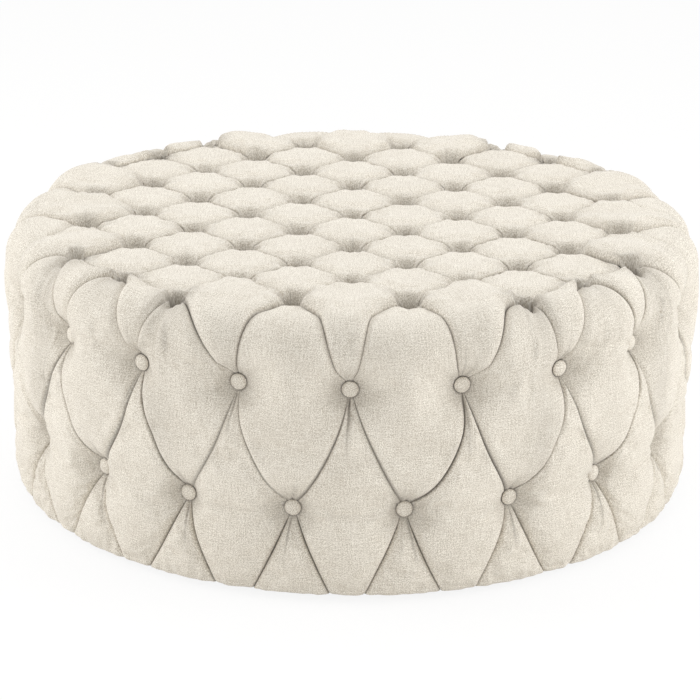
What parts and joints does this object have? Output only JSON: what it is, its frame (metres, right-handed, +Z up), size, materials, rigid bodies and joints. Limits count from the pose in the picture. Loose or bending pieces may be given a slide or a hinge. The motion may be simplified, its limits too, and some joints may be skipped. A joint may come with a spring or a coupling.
{
  "type": "ottoman coffee table",
  "caption": "Round low ottoman coffee table, deep button-tufted in pale linen-look fabric over foam on a plywood frame.",
  "frame": {"origin": "on the floor under the middle of the ottoman", "axes": "+Z up, -Y towards the picture's viewer, +X to the viewer's right"},
  "size_m": [1.0188, 1.0188, 0.3958],
  "materials": {
    "linen": "woven, matt, natural linen look",
    "foam": "open-cell upholstery foam",
    "plywood": "sanded plywood, bare",
    "pine": "planed softwood, bare",
    "hardboard": "smooth hardboard",
    "liner": "thin non-woven dust cloth",
    "glide_plastic": "moulded, matt",
    "screw_steel": "zinc plated",
    "button_metal": "pressed sheet",
    "twine": "waxed nylon twine",
    "washer_plastic": "moulded, matt"
  },
  "bodies": {
    "root": {"tufted_cover": "linen", "top_foam": "foam", "side_foam": "foam", "top_deck": "plywood", "base_ring": "plywood", "posts": "pine", "deck_rails": "pine", "bridge_rails": "pine", "upper_corner_blocks": "pine", "lower_corner_blocks": "pine", "side_panel": "hardboard", "dust_liner": "liner", "glides": "glide_plastic", "deck_screws": "screw_steel", "base_screws": "screw_steel", "rail_screws": "screw_steel", "glide_screws": "screw_steel", "panel_nails": "screw_steel", "hem_staples": "screw_steel", "liner_staples": "screw_steel", "top_button_covers": "linen", "top_button_caps": "button_metal", "top_button_backs": "button_metal", "top_twines": "twine", "top_twine_washers": "washer_plastic", "upper_button_covers": "linen", "upper_button_caps": "button_metal", "upper_button_backs": "button_metal", "upper_twines": "twine", "upper_twine_washers": "washer_plastic", "lower_button_covers": "linen", "lower_button_caps": "button_metal", "lower_button_backs": "button_metal", "lower_twines": "twine", "lower_twine_washers": "washer_plastic"}
  },
  "joints": []
}
